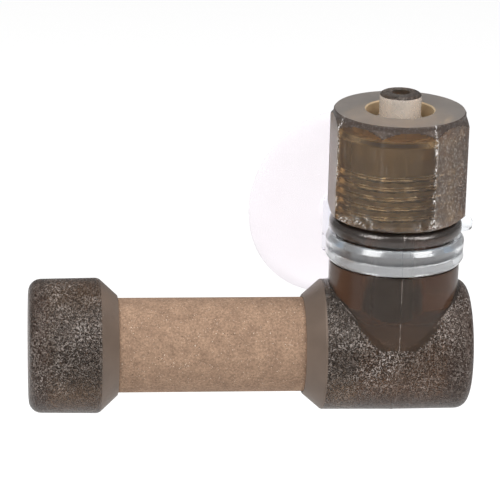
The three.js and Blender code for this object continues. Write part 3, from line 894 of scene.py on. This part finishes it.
def make_nut(flats, rough, shaded_band, satin, lit_hole, cavity, inner):
    """The nut as rows of points: under its foot, up its flats, over its head, and down its bore."""
    angles = [angle + math.radians(NUT_CORNER_ANGLE) for angle in even_angles(NUT_STEPS_ROUND)]
    foot_bore = NUT_CORE_RADIUS + NUT_FOOT_CHAMFER
    rows = []
    wear = []

    def add_row(radii, along, worn):
        rows.append([Vector((r * math.cos(a), r * math.sin(a), along)) for r, a in zip(radii, angles)])
        wear.extend(worn)

    unworn = [0.0] * len(angles)
    foot = [nut_outside(NUT_BOTTOM, a) for a in angles]
    for step in range(NUT_FOOT_STEPS):
        add_row([foot_bore + (r - foot_bore) * step / NUT_FOOT_STEPS for r in foot], NUT_BOTTOM, unworn)
    for step in range(NUT_STEPS_UP + 1):
        along = NUT_BOTTOM + (NUT_TOP - NUT_BOTTOM) * step / NUT_STEPS_UP
        add_row([nut_outside(along, a) for a in angles], along, [corner_wear(along, a) for a in angles])
    head = [nut_outside(NUT_TOP, a) for a in angles]
    hole_edge = NUT_HOLE_RADIUS + NUT_EDGE
    for step in range(1, NUT_HEAD_STEPS):
        add_row([r + (hole_edge - r) * step / NUT_HEAD_STEPS for r in head], NUT_TOP, unworn)
    inside = rounded([
        (hole_edge, NUT_TOP, 0),
        (NUT_HOLE_RADIUS, NUT_TOP - NUT_EDGE, 0),
        (NUT_HOLE_RADIUS, NUT_CAVITY_TOP, 0.1),
        (NUT_CORE_RADIUS - CLAMP_CHAMFER, NUT_CAVITY_TOP, 0.1),
        (NUT_CORE_RADIUS, NUT_CAVITY_TOP - CLAMP_CHAMFER, 0.1),
        (NUT_CORE_RADIUS, NUT_BOTTOM + NUT_FOOT_CHAMFER, 0),
        (foot_bore, NUT_BOTTOM, 0),
    ])
    half = THREAD_PITCH / 2
    for radius, along in divided(inside, spacing=0.07)[:-1]:
        if abs(radius - NUT_CORE_RADIUS) < 0.01:
            drop = NUT_CORE_RADIUS - NUT_CREST_RADIUS
            shares = [ridge_share(along, a, THREAD_BOTTOM - half, THREAD_TOP - half) for a in angles]
            add_row([radius - share * drop for share in shares], along, unworn)
        else:
            add_row([radius] * len(angles), along, unworn)
    mesh = mesh_from(*swept_rows(rows, closed=True))
    mesh.attributes.new("edge_wear", "FLOAT", "POINT").data.foreach_set("value", wear)

    def choose(centre, normal):
        radius = math.hypot(centre.x, centre.y)
        if centre.z > NUT_TOP - NUT_TOP_MARGIN:
            return satin
        if radius < NUT_FLAT_RADIUS - NUT_WALL:
            if centre.z > NUT_CAVITY_TOP:
                # Painted light: the hose hole's wall is painted a pale gold, as a glow.
                return lit_hole
            on_flank = NUT_FLANKS[0] < radius < NUT_FLANKS[1]
            return inner if on_flank or abs(normal.z) > LEVEL else cavity
        # Painted shade: the upper chamfer band and the faces that tilt up get a darkened, nearly opaque copy
        # of the plastic.
        if centre.z > NUT_TOP - NUT_TOP_BAND or normal.z > NUT_TRIM_SLOPE:
            return shaded_band
        if normal.z < -NUT_TRIM_SLOPE:
            return rough
        face = math.floor((math.degrees(math.atan2(centre.y, centre.x)) - NUT_CORNER_ANGLE) / 45) % 8
        return rough if face in ROUGH_NUT_FACES else flats

    show("hose_nut", mesh, BENCH, "nut", "compression_nut", choose)


def corner_wear(along, angle):
    """1 on the nut's gripped corners, at the foot beside them and on its one bruise, 0 on its flats."""
    from_corner = (angle - math.radians(NUT_CORNER_ANGLE)) % NUT_SIDE_ANGLE
    across = min(from_corner, NUT_SIDE_ANGLE - from_corner) * NUT_CORNER_RADIUS
    nearest = round((math.degrees(angle) - NUT_CORNER_ANGLE) / 45) % 8
    grip = 1.0 if nearest in GRIPPED_CORNERS else LIGHT_WEAR
    upright = bell(across, WORN_EDGE_WIDTH)
    foot = bell(along - NUT_BOTTOM - WORN_FOOT_HEIGHT, WORN_FOOT_SPREAD) * bell(across, WORN_FOOT_WIDTH)
    turn = (math.degrees(angle) - BRUISE_ANGLE + 180) % 360 - 180
    bruise = bell(turn, BRUISE_SPREAD_ANGLE) * bell(along - NUT_BOTTOM - BRUISE_HEIGHT, BRUISE_SPREAD)
    return min(1.0, grip * (upright + foot) + 2 * bruise)


def make_clamp_ring(material):
    corners = [
        (CLAMP_BORE_RADIUS, CLAMP_BOTTOM, 0.12),
        (CLAMP_RADIUS, CLAMP_BOTTOM, 0.12),
        (CLAMP_RADIUS, CLAMP_TOP - CLAMP_CHAMFER, 0.12),
        (CLAMP_RADIUS - CLAMP_CHAMFER, CLAMP_TOP, 0.12),
        (CLAMP_BORE_RADIUS, CLAMP_TOP, 0.12),
    ]
    mesh = turned(rounded(corners, closed=True), ALONG_Z, closed=True)
    show("hose_clamp", mesh, BENCH, "clamp", "clamp_ring", material)


def keyhole(radius, front, back):
    """A cutter for a round-bottomed slot along Y that leaves through the top of the socket block."""
    outline = [(radius, BOSS_TOP + 1), *arc_points(0, CUP_HEIGHT, radius, 0, -180), (-radius, BOSS_TOP + 1)]
    stand = Matrix.Translation((0, back, 0)) @ Matrix.Rotation(math.radians(90), 4, "X")
    return prism(outline, 0, back - front, bevel=0, turn=stand)


def make_holder(clear, frosted, block_material):
    ring_corners = [
        (RING_BORE_RADIUS, RING_BOTTOM, 0.12),
        (RING_RADIUS - 0.2, RING_BOTTOM, 0.12),
        (RING_RADIUS, RING_BOTTOM + 0.35, 0.15),
        (RING_RADIUS - 0.08, RING_CREASE - 0.08, 0.05),
        (RING_RADIUS - 0.2, RING_CREASE, 0.04),
        (RING_RADIUS - 0.04, RING_CREASE + 0.1, 0.06),
        (RING_RADIUS, RING_TOP - RING_BEVEL, 0.2),
        (RING_RADIUS - 0.35, RING_TOP, 0.15),
        (RING_BORE_RADIUS, RING_TOP, 0.12),
    ]
    ring_profile = divided(rounded(ring_corners, closed=True), spacing=0.3, closed=True)
    ring = turned(ring_profile, ALONG_Z, closed=True)
    side = BOSS_HALF_WIDTH - BOSS_CORNER
    block = [
        (-BOSS_HALF_WIDTH, BOSS_FRONT),
        (BOSS_HALF_WIDTH, BOSS_FRONT),
        *arc_points(side, BOSS_BACK - BOSS_CORNER, BOSS_CORNER, 0, 90),
        *arc_points(-side, BOSS_BACK - BOSS_CORNER, BOSS_CORNER, 90, 180),
    ]
    boss = prism(block, BOSS_BOTTOM, BOSS_TOP, bevel=0.25)
    boss = combined(boss, [rod(BOSS_NECK_CLEARANCE_RADIUS, 0, THROUGH)], "DIFFERENCE")
    web = prism(block, RING_BOTTOM + WEB_INSET, RING_TOP - WEB_INSET, bevel=0.15)
    web = combined(web, [rod(RING_INSIDE_WALL, 0, THROUGH)], "DIFFERENCE")
    tab_round = TAB_REACH - TAB_HALF_WIDTH
    tab_outline = [
        (-TAB_HALF_WIDTH, RING_INSIDE_WALL),
        (TAB_HALF_WIDTH, RING_INSIDE_WALL),
        *arc_points(0, tab_round, TAB_HALF_WIDTH, 0, 180),
    ]
    tab_turn = Matrix.Rotation(math.radians(TAB_ANGLE), 4, "Z")
    tab = prism(tab_outline, TAB_BOTTOM, TAB_TOP, bevel=0.3, turn=tab_turn)
    solid = combined(ring, [boss, web, tab], "UNION")
    cutters = [
        keyhole(POCKET_RADIUS, POCKET_FRONT, POCKET_BACK),
        keyhole(SLOT_RADIUS, POCKET_BACK - 0.5, BOSS_BACK + 1),
    ]
    mesh = combined(solid, cutters, "DIFFERENCE")

    def choose(centre, normal):
        if math.hypot(centre.x, centre.y) > RING_RADIUS + WALL_MARGIN:
            return block_material
        # The bevel and the band below the crease get the milkier copy, whose extra white share is a painted
        # silvery sheen.
        return frosted if centre.z > RING_TOP - RING_BEVEL or centre.z < RING_CREASE else clear

    show("clear_clip", mesh, HOLDER, "holder", "holder_ring", choose, sharp_angle=28)


def make_suction_cup(material):
    hollow_radius = CUP_RADIUS - CUP_LIP
    hollow = []
    for step in range(CUP_STEPS + 1):
        part = step / CUP_STEPS
        hollow.append(Vector((hollow_radius * part, CUP_PLANE - CUP_HOLLOW_DEPTH * (1 - part * part))))
    skirt_start = CUP_PLANE - CUP_RIM
    skirt_end = CUP_HUB_PLANE + CUP_SKIRT_END
    skirt = []
    for step in range(1, CUP_STEPS + 1):
        part = step / CUP_STEPS
        radius = CUP_RADIUS + (CUP_HUB_RADIUS - CUP_RADIUS) * part
        skirt.append((radius, skirt_start + (skirt_end - skirt_start) * part ** CUP_SKIRT_BEND, 0))
    rim_and_knob = rounded([
        (hollow_radius, CUP_PLANE, 0),
        (CUP_RADIUS, CUP_PLANE, 0.12),
        (CUP_RADIUS, skirt_start, 0.12),
        *skirt,
        (CUP_HUB_RADIUS, CUP_HUB_PLANE, 0.35),
        (KNOB_NECK_RADIUS, CUP_HUB_PLANE, 0.2),
        (KNOB_NECK_RADIUS, KNOB_HEAD_BACK, 0.2),
        (KNOB_HEAD_RADIUS, KNOB_HEAD_BACK, 0.25),
        (KNOB_HEAD_RADIUS, KNOB_HEAD_FRONT, 0.6),
        (0, KNOB_HEAD_FRONT, 0),
    ])
    mesh = turned(divided(hollow + rim_and_knob[1:], spacing=0.5), ALONG_Y)
    show("sucker", mesh, HOLDER, "cup", "suction_cup", material, sharp_angle=45)


# ---- studio ----

VIEW_AZIMUTH = -5.40
VIEW_ELEVATION = 18.96
VIEW_ROLL = 1.49
VIEW_DISTANCE = 306.98
VIEW_SHIFT_RIGHT = -14.03
VIEW_SHIFT_UP = 9.315
SENSOR_WIDTH = 36.0
PICTURE_HALF_WIDTH_AT_DISTANCE = 25.0

FLOOR_HALF_SIZE = 3.0
FLOOR_DROP = 0.08
FLOOR_GREY = 0.6
FLOOR_GLOW = 0.49           # the floor's own light, to the camera and through clear or smoke plastic
FLOOR_GLOW_ON_MATT = 0.8    # the share of it that falls on matt surfaces
SKY_LEAST = 0.25            # the sky's strength as reflections see it
SKY_MORE = (("Is Camera Ray", 0.75), ("Is Transmission Ray", 0.75), ("Is Diffuse Ray", 0.25))
TOP_LIGHT_POWER = 0.7
TOP_LIGHT_SIZE = (0.7, 0.7)
TOP_LIGHT_HEIGHT = 0.6
SIDE_LIGHT_POWER = 2.7
SIDE_LIGHT_SIZE = (0.30, 0.5)
SIDE_LIGHT_PLACE = (0.36, -0.30, 0.42)


def make_camera():
    """A long lens a foot away, a little to the left of square, looking down on the diffuser."""
    azimuth, elevation, roll = (math.radians(v) for v in (VIEW_AZIMUTH, VIEW_ELEVATION, VIEW_ROLL))
    back = Vector((
        math.sin(azimuth) * math.cos(elevation),
        -math.cos(azimuth) * math.cos(elevation),
        math.sin(elevation),
    ))
    level = Vector((math.cos(azimuth), math.sin(azimuth), 0))
    upright = back.cross(level)
    right = math.cos(roll) * level + math.sin(roll) * upright
    up = math.cos(roll) * upright - math.sin(roll) * level
    offset = right * VIEW_SHIFT_RIGHT + up * VIEW_SHIFT_UP + back * VIEW_DISTANCE
    camera = bpy.data.objects.new("camera", bpy.data.cameras.new("camera"))
    camera.data.sensor_width = SENSOR_WIDTH
    camera.data.lens = SENSOR_WIDTH * VIEW_DISTANCE / (2 * PICTURE_HALF_WIDTH_AT_DISTANCE)
    camera.data.clip_start = 0.01
    camera.matrix_world = (
        Matrix.Translation(crossing_point() + offset * MM) @ Matrix((right, up, back)).transposed().to_4x4()
    )
    bpy.context.scene.collection.objects.link(camera)
    bpy.context.scene.camera = camera


def make_floor():
    """A wide pale floor, well below the diffuser, which hangs from its cup."""
    edit = bmesh.new()
    bmesh.ops.create_grid(edit, x_segments=8, y_segments=8, size=FLOOR_HALF_SIZE)
    mesh = bpy.data.meshes.new("floor")
    edit.to_mesh(mesh)
    edit.free()
    floor = bpy.data.objects.new("floor", mesh)
    floor.location.z = CAD_BOX[0].z - FLOOR_DROP
    n = Nodes("pale_floor")
    n.set(Base_Color=(FLOOR_GREY, FLOOR_GREY, FLOOR_GREY, 1), Roughness=0.9, Emission_Color=(1, 1, 1, 1))
    path = n.add("ShaderNodeLightPath")
    seen = n.math("MAXIMUM", path.outputs["Is Camera Ray"], path.outputs["Is Transmission Ray"])
    on_matt = n.math("MULTIPLY", path.outputs["Is Diffuse Ray"], FLOOR_GLOW_ON_MATT)
    n.link(n.spread(n.math("MAXIMUM", seen, on_matt), 0.0, FLOOR_GLOW), n.shader.inputs["Emission Strength"])
    mesh.materials.append(n.material)
    bpy.context.scene.collection.objects.link(floor)


def make_light(name, size, power, position, target):
    light = bpy.data.lights.new(name, "AREA")
    light.shape = "RECTANGLE"
    light.size, light.size_y = size
    light.energy = power
    lamp = bpy.data.objects.new(name, light)
    lamp.location = position
    lamp.rotation_mode = "QUATERNION"
    lamp.rotation_quaternion = (Vector(target) - Vector(position)).to_track_quat("-Z", "Y")
    bpy.context.scene.collection.objects.link(lamp)


def make_sky():
    """A white sky, brighter to the camera and through the plastic than in reflections."""
    world = bpy.data.worlds.new("studio")
    world.use_nodes = True
    tree = world.node_tree
    background = tree.nodes["Background"]
    background.inputs["Color"].default_value = (1, 1, 1, 1)
    path = tree.nodes.new("ShaderNodeLightPath")
    strength = None
    for ray, more in SKY_MORE:
        add = tree.nodes.new("ShaderNodeMath")
        add.operation = "MULTIPLY_ADD"
        tree.links.new(path.outputs[ray], add.inputs[0])
        add.inputs[1].default_value = more
        if strength:
            tree.links.new(strength, add.inputs[2])
        else:
            add.inputs[2].default_value = SKY_LEAST
        strength = add.outputs["Value"]
    tree.links.new(strength, background.inputs["Strength"])
    bpy.context.scene.world = world


def make_lights():
    """Three soft boxes: one above, and one high at each side in front."""
    middle = (CAD_BOX[0] + CAD_BOX[1]) / 2
    above = middle + Vector((0.0, 0.0, TOP_LIGHT_HEIGHT))
    make_light("top_box", TOP_LIGHT_SIZE, TOP_LIGHT_POWER, above, middle)
    right, forward, up = SIDE_LIGHT_PLACE
    for name, side in (("left_box", -1), ("right_box", 1)):
        place = middle + Vector((right * side, forward, up))
        make_light(name, SIDE_LIGHT_SIZE, SIDE_LIGHT_POWER, place, middle)


# ---- everything ----

make_camera()
make_floor()
make_sky()
make_lights()
bpy.context.scene.view_settings.view_transform = "Standard"

pebbled = smoke_plastic(
    "smoke_pebbled", (0.55, 0.43, 0.345), haze=0.03, roughness=(0.28, 0.34),
    relief_depth=0.10, relief_size=0.20, sparkle_share=0.44, coat=0.2,
)
frosted = smoke_plastic(
    "smoke_frosted", (0.38, 0.285, 0.225), haze=0.32, roughness=(0.35, 0.45),
    relief_depth=0.006, relief_size=0.4,
)
smooth = smoke_plastic(
    "smoke_smooth", (0.62, 0.53, 0.46), haze=0.04, roughness=(0.14, 0.24), relief_depth=0.006, relief_size=0.6
)
gloss = smoke_plastic(
    "smoke_gloss", (0.62, 0.50, 0.44), haze=0.04, roughness=(0.2, 0.28),
    relief_depth=0.02, relief_size=0.3, coat=0.6, coat_ior=1.8,
)
pin = smoke_plastic(
    "smoke_pin", (0.96, 0.85, 0.74), haze=0.48, roughness=(0.22, 0.32), relief_depth=0.01, relief_size=0.25
)
# Painted light: the chamber's wall is a pale amber, hazy copy of the plastic, painted as the glow inside the
# barrel.
chamber_glow = smoke_plastic(
    "smoke_chamber", (0.95, 0.74, 0.47), haze=0.32, roughness=(0.25, 0.35), relief_depth=0.01, relief_size=0.4
)
thread = smoke_plastic(
    "smoke_thread", (0.88, 0.70, 0.52), haze=0.16, roughness=(0.25, 0.35), relief_depth=0.01, relief_size=0.3
)
inner = smoke_plastic(
    "smoke_inside", (0.95, 0.90, 0.85), haze=0.02, roughness=(0.25, 0.35), relief_depth=0.01, relief_size=0.4
)

make_tee(pebbled, frosted, smooth, gloss, pin, thread, chamber_glow, inner)
make_end_cap(pebbled, frosted, inner)
make_ceramic(porous_ceramic())
make_seals(silicone())
make_nut(
    flats=worn_nut_plastic(
        "nut_polished", (0.95, 0.89, 0.81), haze=0.02, roughness=(0.04, 0.12),
        relief_depth=0.005, sparkle_share=0.0,
    ),
    rough=worn_nut_plastic(
        "nut_rough", (0.56, 0.47, 0.41), haze=0.08, roughness=(0.28, 0.36), relief_depth=0.01, sparkle_share=0.17
    ),
    # Painted shade: the nut's upper chamfer band is a darkened, nearly opaque copy of the nut's plastic.
    shaded_band=worn_nut_plastic(
        "nut_chamfer", (0.10, 0.08, 0.07), haze=0.55, roughness=(0.28, 0.36),
        relief_depth=0.02, sparkle_share=0.03, ior=1.25,
    ),
    satin=worn_nut_plastic(
        "nut_satin", (0.74, 0.68, 0.63), haze=0.20, roughness=(0.4, 0.5), relief_depth=0.01, sparkle_share=0.03
    ),
    # Painted light: the wall of the hose hole is a pale gold, hazy copy of the plastic, painted as a glow of
    # light through it.
    lit_hole=smoke_plastic(
        "nut_hole", (0.97, 0.74, 0.47), haze=0.6, roughness=(0.25, 0.35), relief_depth=0.01, relief_size=0.4
    ),
    cavity=smoke_plastic(
        "nut_cavity", (0.95, 0.78, 0.56), haze=0.12, roughness=(0.25, 0.35), relief_depth=0.01, relief_size=0.4
    ),
    inner=inner,
)
make_clamp_ring(clear_plastic("clear_clamp", ior=1.3, milk=0.3))
make_holder(
    clear=clear_plastic("clear_ring", ior=1.49, milk=0.06),
    # Painted sheen: the extra white share on the ring's bevel and lower band stands in for silvery
    # reflections.
    frosted=clear_plastic("frosted_ring", ior=1.49, milk=0.15, coat=0.8),
    block_material=clear_plastic("clear_block", ior=1.13, milk=0.01),
)
make_suction_cup(soft_vinyl())
